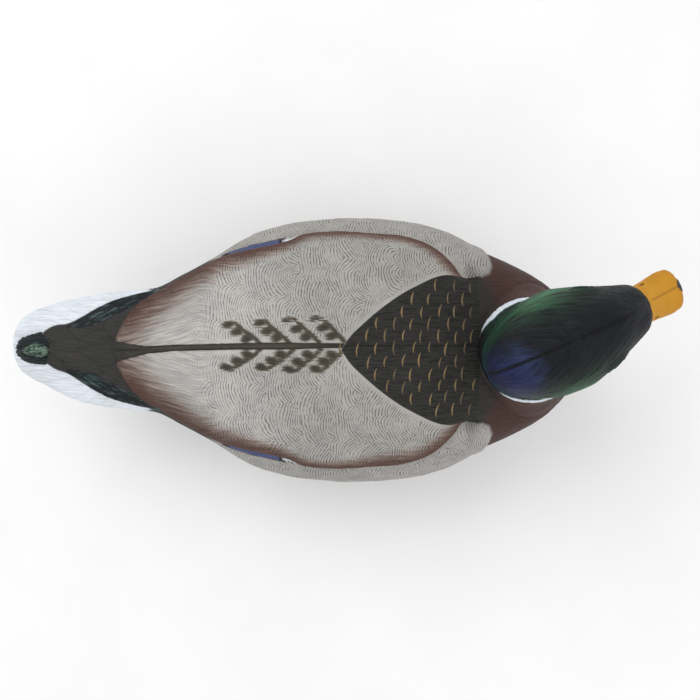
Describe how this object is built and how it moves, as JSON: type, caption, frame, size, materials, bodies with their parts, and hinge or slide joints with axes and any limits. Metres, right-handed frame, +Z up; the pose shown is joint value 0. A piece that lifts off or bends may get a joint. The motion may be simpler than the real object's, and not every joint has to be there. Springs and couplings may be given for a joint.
{
  "type": "floating duck decoy",
  "caption": "Hollow moulded drake mallard decoy on a weighted keel, with a bolted head that turns, a wing nut under the hull, line holes in the keel and a drain plug.",
  "frame": {"origin": "on the surface that the keel's foot stands on, under the middle of the whole decoy's box", "axes": "+X along the body from tail to breast, +Y to the bird's left, +Z up"},
  "size_m": [0.3901, 0.1652, 0.197],
  "materials": {
    "body_plastic": "painted matt moulded plastic, grey back, brown edges and breast",
    "head_plastic": "painted moulded plastic, dark green and blue sheen, ochre bill",
    "eye_plastic": "glossy dark brown eye button",
    "keel_plastic": "dark moulded plastic",
    "bearing_plastic": "plain black moulded plastic",
    "rubber": "matt black rubber",
    "zinc_steel": "zinc-plated steel",
    "ballast_steel": "plain turned steel bar"
  },
  "bodies": {
    "base": {"body_shell": "body_plastic", "neck_seat_ring": "bearing_plastic", "bolt_tube": "bearing_plastic", "tube_seals": "rubber", "keel": "keel_plastic", "keel_gasket": "rubber", "keel_screws": "zinc_steel", "ballast_bar": "ballast_steel", "keel_plug": "bearing_plastic", "seal_washer": "rubber"},
    "head": {"head_shell": "head_plastic", "left_eye": "eye_plastic", "right_eye": "eye_plastic", "neck_plug": "bearing_plastic", "head_bolt": "zinc_steel", "flat_washer": "zinc_steel", "lock_washer": "zinc_steel"},
    "nut": {"wing_nut": "zinc_steel"},
    "drain": {"drain_plug": "bearing_plastic", "drain_seal": "rubber"}
  },
  "joints": [
    {"name": "head_turn", "type": "hinge", "parent": "base", "child": "head", "pos_m": [0.114, 0, 0.122], "axis": [0, 0, 1], "range_deg": [-114.5, 65.5]},
    {"name": "wing_nut_turn", "type": "hinge", "parent": "head", "child": "nut", "pos_m": [0.114, 0, 0.03], "axis": [0, 0, 1], "continuous": true},
    {"name": "drain_plug_pull", "type": "slide", "parent": "base", "child": "drain", "axis": [0, 0, -1], "range_m": [0, 0.018]}
  ]
}
